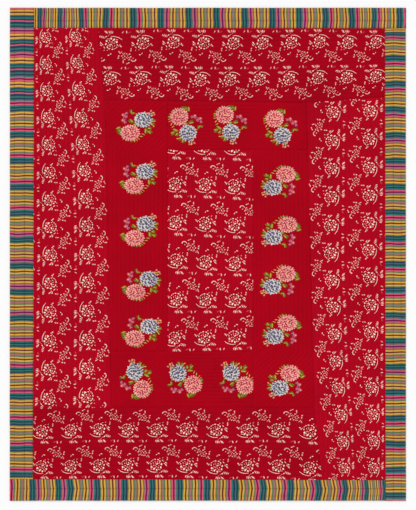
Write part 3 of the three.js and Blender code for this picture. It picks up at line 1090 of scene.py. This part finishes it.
def flower_print_group():
    """Cream flowers, leaves and buds in a half-drop repeat: how much ink lies on the cloth."""
    nodes, given = start_group("flower print", {"Cell": "Vector"}, {"Ink": "Float"})
    cell = nodes.shaken(given["Cell"], PRINT_SHAKE_SCALE, PRINT_SHAKE)
    grain = nodes.noise(given["Cell"], INK_GRAIN_SCALE, INK_GRAIN_DETAIL)
    bold, pale = 0.0, 0.0
    for offset, strength, arc, dabs, washes in PRINTED_FLOWERS:
        shifted = nodes.vector("SUBTRACT", nodes.vector("ADD", cell, HALF_CELL), offset)
        centred = nodes.vector("SUBTRACT", nodes.vector("FRACTION", shifted), HALF_CELL)
        place = nodes.vector("MULTIPLY", centred, PRINT_CELL_MM)
        depth = dab_field(nodes, place, grown([*brush_arc(*arc), *dabs], PRINT_BLEED))
        inside = nodes.fade(depth, *INK_INSIDE_FADE)
        ragged = nodes.times(nodes.minus(grain, 0.5), nodes.times(inside, INK_RAGGED))
        inked = nodes.fade(nodes.plus(depth, ragged), *PRINT_EDGE_FADE, 0.0, strength)
        bold = nodes.most(inked, bold)
        pale = nodes.most(dab_field(nodes, place, washes), pale)
    worn = nodes.noise(given["Cell"], INK_WEAR_SCALE, FINE_DETAIL)
    body = nodes.times(bold, nodes.fade(worn, *INK_WEAR_FADE))
    speckled = nodes.fade(grain, *SPECKLE_FADE)
    wash = nodes.times(nodes.times(nodes.fade(pale, *WASH_FADE), speckled), PALE_INK)
    end_group(nodes, {"Ink": nodes.most(body, wash)})


# The bouquet, in millimetres from midway between its two flower heads. Petal rings, outermost first: how many
# petals, how far out, their half length and half width. Florets crowd inside the rings. Dyes go from dark to
# light, each with its place from 0 to 1.
FLOWER_HEADS = (
    {
        "middle": (20.5, -37.5),
        "rings": ((19, 35.6, 4.6, 3.5),),
        "petal dyes": ((0.0, "steel"), (0.35, "slate"), (0.75, "ice")),
        "floret size": 8.0,
        "floret fade": (0.18, 0.68),
        "floret dyes": ((0.0, "ink"), (0.16, "steel"), (0.38, "slate"), (0.72, "ice")),
        "heart": "ink",
    },
    {
        "middle": (-20.5, 37.5),
        "rings": ((23, 37.4, 4.4, 3.1), (19, 31.4, 4.2, 3.0)),
        "petal dyes": ((0.0, "coral"), (0.35, "salmon"), (0.80, "shell")),
        "floret size": 7.4,
        "floret fade": (0.62, 0.10),
        "floret dyes": ((0.0, "rose"), (0.14, "coral"), (0.42, "salmon"), (0.80, "shell")),
        "heart": "apricot",
    },
)
LEAVES = (
    (-8, 77, 20, 12, 6.5), (17, 74, 100, 12, 7.5), (6, 78, 60, 9, 6.0), (32, 13, 30, 13, 7.0),
    (9, 2, 200, 11, 7.0), (-35, -29, 168, 14, 7.5), (-46, -42, 205, 10, 7.0), (-27, -47, 235, 9, 6.0),
    (-13, -65, 215, 11, 6.5), (1, -76, 262, 10, 6.0), (66, -9, 82, 9, 4.2), (77, -4, -5, 11, 4.2),
    (-59, 46, 165, 7, 4.0), (-64, 33, 180, 7, 3.8), (-48, 61, 140, 7, 4.2),
)

# Dabs of each dye, in the order in which they are laid, under the flower heads and over them
UNDER_HEADS = (
    ("sepal", (
        (-54, 0, 245, 8, 2.0), (-47, -11, 225, 9, 2.0), (-62, 14, 210, 6, 1.8), (-64, 24, 195, 6, 1.8),
        (-38, 73, 120, 5, 1.8), (57, -22, 20, 6, 1.8),
    )),
    ("lilac", (
        (47, 42, 60, 11.0, 8.2), (71, 31, 20, 10.5, 8.0), (35, 38, -15, 9.0, 6.6), (61, 24, -50, 9.6, 7.2),
        (76, 17, -60, 8.4, 6.4), (54, 35, 0, 8.0, 6.0),
    )),
    ("plum", (
        (29, 37, 0, 5.5, 3.2), (55, 33, -45, 6.0, 3.0), (68, 20, -70, 5.0, 2.6), (81, 8, -75, 6.5, 3.2),
        (41, 33, -30, 5.0, 2.2),
    )),
)
OVER_HEADS = (
    ("plum", ((20, -71, 150, 8.0, 4.5), (37, -80, 20, 12.5, 9.5))),
    ("apricot", (
        (28, -79, 100, 6.5, 4.6), (38, -89, 70, 7.0, 4.8), (42, -72, 40, 6.5, 4.4), (-25, -66, 200, 5.0, 3.0),
    )),
    ("salmon", ((50, -83, -25, 6.5, 4.8), (28, -90, 130, 5.0, 3.6))),
    ("lemon", (
        (38, -80, 0, 3.4, 2.8), (29, -58, 20, 4.2, 2.4), (49, 44, 60, 3.2, 1.8), (73, 33, 20, 3.2, 1.8),
    )),
)
BOUQUET_SHAKE_SCALE = 0.16
BOUQUET_SHAKE = (5.5, 5.5, 0.0)
INK_EDGE_FADE = (0.02, 0.30)

# Flower heads: how their petals and florets differ from each other, and the edges of petals, head and heart
RING_TURN = 0.61
PETAL_STAGGER = 0.9
PETAL_LEAN = 1.8
PETAL_OWN_LIGHT = 0.5
PETAL_EDGE_FADE = (1.12, 0.74)
PETAL_LIGHT_FADE = (-1.0, 1.0, 0.0, 0.6)
HEAD_EDGE_FADE = (1.5, -0.5)
HEART_FADE = (4.6, 2.6)
FLORET_RANDOMNESS = 0.85
FLORET_OWN_SHADE = 0.35


def florets(nodes, place, flower):
    """Small round petals crowded together, light or dark in their middles."""
    values = {"Vector": place, "Scale": 1 / flower["floret size"], "Randomness": FLORET_RANDOMNESS}
    cells = nodes.add("TexVoronoi", values, voronoi_dimensions="2D").outputs
    own = nodes.add("SeparateColor", {0: cells["Color"]}).outputs[0]
    fading = nodes.fade(cells["Distance"], *flower["floret fade"])
    return nodes.ramp(nodes.minus(fading, nodes.times(own, FLORET_OWN_SHADE)), flower["floret dyes"])


def flower_head(nodes, place, flower):
    """A round flower of florets and petal rings: its colour and its cover."""
    colour, cover = florets(nodes, place, flower), None
    away = nodes.vector("SUBTRACT", place, (*flower["middle"], 0.0))
    parts = nodes.split(away)
    radius = nodes.vector("LENGTH", away)
    angle = nodes.math("ARCTAN2", parts[1], parts[0])
    for number, (count, ring_radius, long, wide) in enumerate(flower["rings"]):
        sector = nodes.scaled(angle, count / math.tau, RING_TURN * number * number + count)
        own = nodes.math("FLOOR", sector)
        draw = nodes.add("TexWhiteNoise", {"W": own}, noise_dimensions="1D").outputs
        draws = nodes.split(draw["Color"])
        outward = nodes.scaled(radius, 1 / long, -ring_radius / long)
        outward = nodes.plus(outward, nodes.scaled(draws[0], -PETAL_STAGGER, PETAL_STAGGER / 2))
        aside = nodes.minus(nodes.minus(sector, own), 0.5)
        aside = nodes.times(aside, nodes.times(radius, math.tau / count / wide))
        lean = nodes.times(outward, nodes.scaled(draws[1], PETAL_LEAN, -PETAL_LEAN / 2))
        pair = nodes.add("CombineXYZ", {0: outward, 1: nodes.plus(aside, lean)}).outputs[0]
        petal = nodes.fade(nodes.vector("LENGTH", pair), *PETAL_EDGE_FADE)
        light = nodes.scaled(draws[2], PETAL_OWN_LIGHT, nodes.fade(outward, *PETAL_LIGHT_FADE))
        colour = nodes.mix(petal, colour, nodes.ramp(light, flower["petal dyes"]))
        if cover is None:
            start, end = (ring_radius + edge for edge in HEAD_EDGE_FADE)
            cover = nodes.most(petal, nodes.fade(radius, start, end))
    return nodes.mix(nodes.fade(radius, *HEART_FADE), colour, dye(flower["heart"])), cover


def paint(nodes, place, layers, colour, cover):
    """Lays the dabs of each dye in turn over a picture of this colour and cover."""
    for name, dabs in layers:
        mask = nodes.fade(dab_field(nodes, place, dabs), *INK_EDGE_FADE)
        colour = nodes.mix(mask, colour, dye(name))
        cover = nodes.most(mask, cover)
    return colour, cover


def bouquet_group():
    """A bouquet of one pink and one blue flower with leaves and bells: its colour and its cover."""
    nodes, given = start_group("bouquet", {"Place": "Vector"}, {"Color": "Color", "Cover": "Float"})
    place = nodes.shaken(given["Place"], BOUQUET_SHAKE_SCALE, BOUQUET_SHAKE)
    lime, green = zip(*(split_leaf(*leaf) for leaf in LEAVES))
    leaves = (("shade", grown(lime + green, LEAF_RIM)), ("lime", lime), ("leaf", green))
    colour, cover = paint(nodes, place, leaves + UNDER_HEADS, dye("shade"), 0.0)
    for flower in FLOWER_HEADS:
        head, head_cover = flower_head(nodes, place, flower)
        colour = nodes.mix(head_cover, colour, head)
        cover = nodes.most(cover, head_cover)
    colour, cover = paint(nodes, place, OVER_HEADS, colour, cover)
    end_group(nodes, {"Color": colour, "Cover": cover})


def stripe_stops(stripes):
    """Ramp stops for one repeat, from the start of its pink group."""
    total = sum(share for _, share in stripes)
    stops, place = [], 0.0
    for name, share in stripes:
        stops.append((place, name))
        place += share / total
    return stops


def stripe_group():
    """Woven stripes along the binding: the dye at each place, counted from the middle of a pink group."""
    nodes, given = start_group("woven stripes", {"Count": "Vector"}, {"Color": "Color"})
    parts = nodes.split(given["Count"])
    colours = []
    for stripes in (STRIPES, OTHER_STRIPES):
        stops = stripe_stops(stripes)
        half_pink = stops[PINK_GROUP][0] / 2
        share_of_repeat = nodes.math("FRACT", nodes.plus(parts[0], half_pink + REPEATS_BEFORE))
        colours.append(nodes.ramp(share_of_repeat, stops, sharp=True))
    other = nodes.math("GREATER_THAN", parts[1], 0.0)
    end_group(nodes, {"Color": nodes.mix(other, *colours)})


# Cloths and thread
NOISE_FADE = (0.3, 0.7)
REVERSE_FADING_SCALE = 3.0
PLY_SCALE = 2200.0
PLY_DETAIL = 1.0
PLY_ROUGHNESS_FADE = (0.2, 0.8, 0.6, 0.75)


def start_material(name):
    material = bpy.data.materials.new(name)
    material.use_nodes = True
    material.node_tree.nodes.clear()
    return material, Nodes(material.node_tree)


def finish_cotton(nodes, colour, fuzz, line_shade=LINE_SHADE):
    """Joins a cloth's colour to the quilted cotton surface, with painted shade at its stitch lines and fuzz
    of this dye.
    """
    values = {"Cloth": nodes.place(), "Quilting": nodes.map("quilting"), "Line Shade": line_shade}
    surface = nodes.group("quilted cotton", values)
    # The colour toned, with the painted shade near and along the stitch lines
    toned_with_painted_shade = nodes.add("HueSaturation", {"Color": colour, "Value": surface["Tone"]}).outputs[0]
    bump = nodes.add("Bump", {"Strength": 0.8, "Distance": 0.001, "Height": surface["Height"]}).outputs[0]
    nodes.surface({
        "Base Color": toned_with_painted_shade,
        "Roughness": surface["Roughness"],
        "Normal": bump,
        "Specular IOR Level": 0.05,
        "Sheen Weight": 0.06,
        "Sheen Roughness": 0.45,
        "Sheen Tint": dye(fuzz),
    })


def printed_cotton(name, ground, strength):
    """Cotton of this ground dye, with the flowers printed on it at this strength."""
    material, nodes = start_material(name)
    ink = nodes.times(nodes.group("flower print", {"Cell": nodes.map("print")})["Ink"], strength)
    rim = nodes.mix(nodes.fade(ink, *INK_RIM_FADE), dye(ground), dye("ink rim"))
    finish_cotton(nodes, nodes.mix(nodes.fade(ink, *INK_BODY_FADE), rim, dye("cream")), ground)
    return material


def bouquet_cotton(name):
    material, nodes = start_material(name)
    bouquet = nodes.group("bouquet", {"Place": nodes.map("bouquet")})
    finish_cotton(nodes, nodes.mix(bouquet["Cover"], dye("frame red"), bouquet["Color"]), "frame red")
    return material


def striped_cotton(name):
    material, nodes = start_material(name)
    stripes = nodes.group("woven stripes", {"Count": nodes.map("stripes")})
    finish_cotton(nodes, stripes["Color"], "ochre", BINDING_LINE_SHADE)
    return material


def reverse_cotton(name):
    material, nodes = start_material(name)
    faded = nodes.fade(nodes.noise(nodes.place(), REVERSE_FADING_SCALE, FINE_DETAIL), *NOISE_FADE)
    finish_cotton(nodes, nodes.mix(faded, dye("reverse red"), dye("thread red")), "reverse red")
    return material


def twisted_thread(name):
    """Sewing cotton: fine ply lines and a little fluff in its tone."""
    material, nodes = start_material(name)
    ply = nodes.noise(nodes.place(), PLY_SCALE, PLY_DETAIL)
    colour = nodes.mix(nodes.fade(ply, *NOISE_FADE), dye("reverse red"), dye("thread red"))
    bump = nodes.add("Bump", {"Strength": 0.5, "Distance": 0.0002, "Height": ply}).outputs[0]
    roughness = nodes.fade(ply, *PLY_ROUGHNESS_FADE)
    nodes.surface({"Base Color": colour, "Roughness": roughness, "Normal": bump})
    return material


# Stitches


def stitch_shape():
    """One stitch's few points and faces, lying along X: a cone drawn out to a second tip."""
    half = 0.5
    bpy.ops.object.select_all(action="DESELECT")
    bpy.ops.mesh.primitive_cone_add(
        vertices=STITCH_SIDES, radius1=half, radius2=0, depth=half, end_fill_type="NOTHING"
    )
    bead = bpy.context.object
    bpy.ops.object.mode_set(mode="EDIT")
    bpy.ops.mesh.select_all(action="DESELECT")
    bpy.ops.mesh.select_non_manifold()
    bpy.ops.mesh.extrude_region_move(TRANSFORM_OT_translate={"value": (0, 0, -half)})
    bpy.ops.mesh.merge(type="CENTER")
    bpy.ops.mesh.select_all(action="SELECT")
    bpy.ops.mesh.normals_make_consistent(inside=False)
    bpy.ops.object.mode_set(mode="OBJECT")
    points = points_of(bead) + (0, 0, half / 2)
    points = points @ np.array([[0, 0, 1], [0, 1, 0], [-1, 0, 0]])
    faces = np.array([list(face.vertices) for face in bead.data.polygons])
    bpy.data.objects.remove(bead)
    return points * (STITCH_LENGTH, STITCH_WIDTH, STITCH_WIDTH), faces


def sew(piece, shape, thread):
    """All the stitches of one piece as one joined mesh."""
    bead, faces = shape
    places, ways = [], []
    for line_places, line_ways in piece.stitch_lines():
        clear = np.min(piece.inset(line_places), axis=0) > STITCH_CLEAR_OF_SEAM
        places.append(line_places[clear])
        ways.append(line_ways[clear])
    places, ways = np.concatenate(places), np.concatenate(ways)
    heights = face_and_back(piece, places)[0] - STITCH_SINK
    sideways = np.column_stack([-ways[:, 1], ways[:, 0]])
    plan = places[:, None] + bead[None, :, :1] * ways[:, None] + bead[None, :, 1:2] * sideways[:, None]
    points = np.concatenate([plan, heights[:, None, None] + bead[None, :, 2:]], axis=2)
    all_faces = faces[None] + np.arange(len(places))[:, None, None] * len(bead)
    mesh = bpy.data.meshes.new("stitches_" + piece.node)
    mesh.from_pydata(points.reshape(-1, 3).tolist(), [], all_faces.reshape(-1, faces.shape[1]).tolist())
    mesh.materials.append(thread)
    stitches = bpy.data.objects.new("stitches_" + piece.node, mesh)
    bpy.context.scene.collection.objects.link(stitches)
    mesh.shade_smooth()
    return stitches


# Putting the quilt together


def dress(cloth, face_material, reverse_material=None):
    """Gives the face and the walls one cloth, and the reverse another."""
    mesh = cloth.data
    mesh.materials.clear()
    mesh.materials.append(face_material)
    if reverse_material:
        mesh.materials.append(reverse_material)
        under = read(mesh.polygons, "normal", 3)[:, 2] < UNDERSIDE_TILT
        mesh.polygons.foreach_set("material_index", under.astype(np.int32))
    mesh.update()


def make_pieces():
    pieces = [RoundPanel("centre_panel", "left", CENTRE_PLAIN_WITHIN)]
    for side in SIDES:
        pieces.append(RoundPanel("frame_strip_" + side, side, 0))
        pieces.append(OuterPanel("border_panel_" + side, side))
        pieces.append(Binding("binding_" + side, side))
    return pieces


def make_materials():
    quilted_cotton_group()
    flower_print_group()
    bouquet_group()
    stripe_group()
    return {
        "side print": printed_cotton("side_print_cotton", "side red", strength=1.0),
        "end print": printed_cotton("end_print_cotton", "end red", strength=0.93),
        "bouquets": bouquet_cotton("bouquet_cotton"),
        "stripes": striped_cotton("striped_cotton"),
        "reverse": reverse_cotton("reverse_cotton"),
        "thread": twisted_thread("sewing_thread"),
    }


def finish_piece(piece, cloth, materials):
    """Lays the piece's pattern on its cloth."""
    map_quilting(cloth, piece)
    if isinstance(piece, Binding):
        map_stripes(cloth, piece)
        dress(cloth, materials["stripes"])
    elif piece.node in PRINT_PINS:
        map_print(cloth, piece)
        print_name = "end print" if piece.side in ("top", "bottom") else "side print"
        dress(cloth, materials[print_name], materials["reverse"])
    else:
        map_bouquets(cloth, piece)
        dress(cloth, materials["bouquets"], materials["reverse"])


def make_quilt():
    materials = make_materials()
    shape = stitch_shape()
    for piece in make_pieces():
        cloth = quilt_cloth(piece)
        finish_piece(piece, cloth, materials)
        stitches = sew(piece, shape, materials["thread"])
        for thing in (cloth, stitches):
            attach(thing, "root")
        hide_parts(piece.node)
        width, length = piece.size()
        piece.area()


# Studio


def make_floor():
    bpy.ops.object.select_all(action="DESELECT")
    bpy.ops.mesh.primitive_plane_add(size=FLOOR_SIZE, location=(0, 0, FLOOR_LEVEL))
    floor = bpy.context.object
    floor.name = "studio_floor"
    bpy.ops.object.transform_apply(location=True)
    material, nodes = start_material("floor_paint")
    clouds = nodes.noise(nodes.place(), FLOOR_CLOUD_SCALE)
    shade = nodes.fade(clouds, *NOISE_FADE, 0.0, FLOOR_CLOUD_SHADE)
    colour = nodes.mix(shade, dye("floor"), dye("ice"))
    nodes.surface({"Base Color": colour, "Roughness": 0.9, "Specular IOR Level": 0.1})
    floor.data.materials.append(material)


def add_sun(name, strength, softness, tilt, heading):
    """A wide soft light, tilted from straight above, from this compass heading."""
    light = bpy.data.lights.new(name, "SUN")
    light.energy = strength
    light.angle = math.radians(softness)
    lamp = bpy.data.objects.new(name, light)
    lamp.rotation_euler = (math.radians(tilt), 0, math.radians(heading))
    bpy.context.scene.collection.objects.link(lamp)


def make_studio():
    make_floor()
    world = bpy.data.worlds.new("studio")
    bpy.context.scene.world = world
    world.use_nodes = True
    background = world.node_tree.nodes["Background"]
    background.inputs["Color"].default_value = (1.0, 1.0, 1.0, 1.0)
    background.inputs["Strength"].default_value = DAYLIGHT
    add_sun("key_light", strength=1.30, softness=30, tilt=52, heading=215)
    add_sun("fill_light", strength=0.45, softness=60, tilt=40, heading=20)
    bpy.context.scene.view_settings.view_transform = "Standard"


def make_camera():
    lens = bpy.data.cameras.new("camera")
    lens.sensor_fit = "VERTICAL"
    lens.sensor_height = SENSOR_SIZE * MM_IN_METRE
    lens.lens = lens.sensor_height * (CAMERA_HEIGHT - STITCH_HEIGHT) / (IMAGE_HEIGHT * PIXEL)
    camera = bpy.data.objects.new("camera", lens)
    camera.location = (*CAMERA_PLACE, CAMERA_HEIGHT)
    bpy.context.scene.collection.objects.link(camera)
    bpy.context.scene.camera = camera


make_camera()
make_studio()
make_quilt()
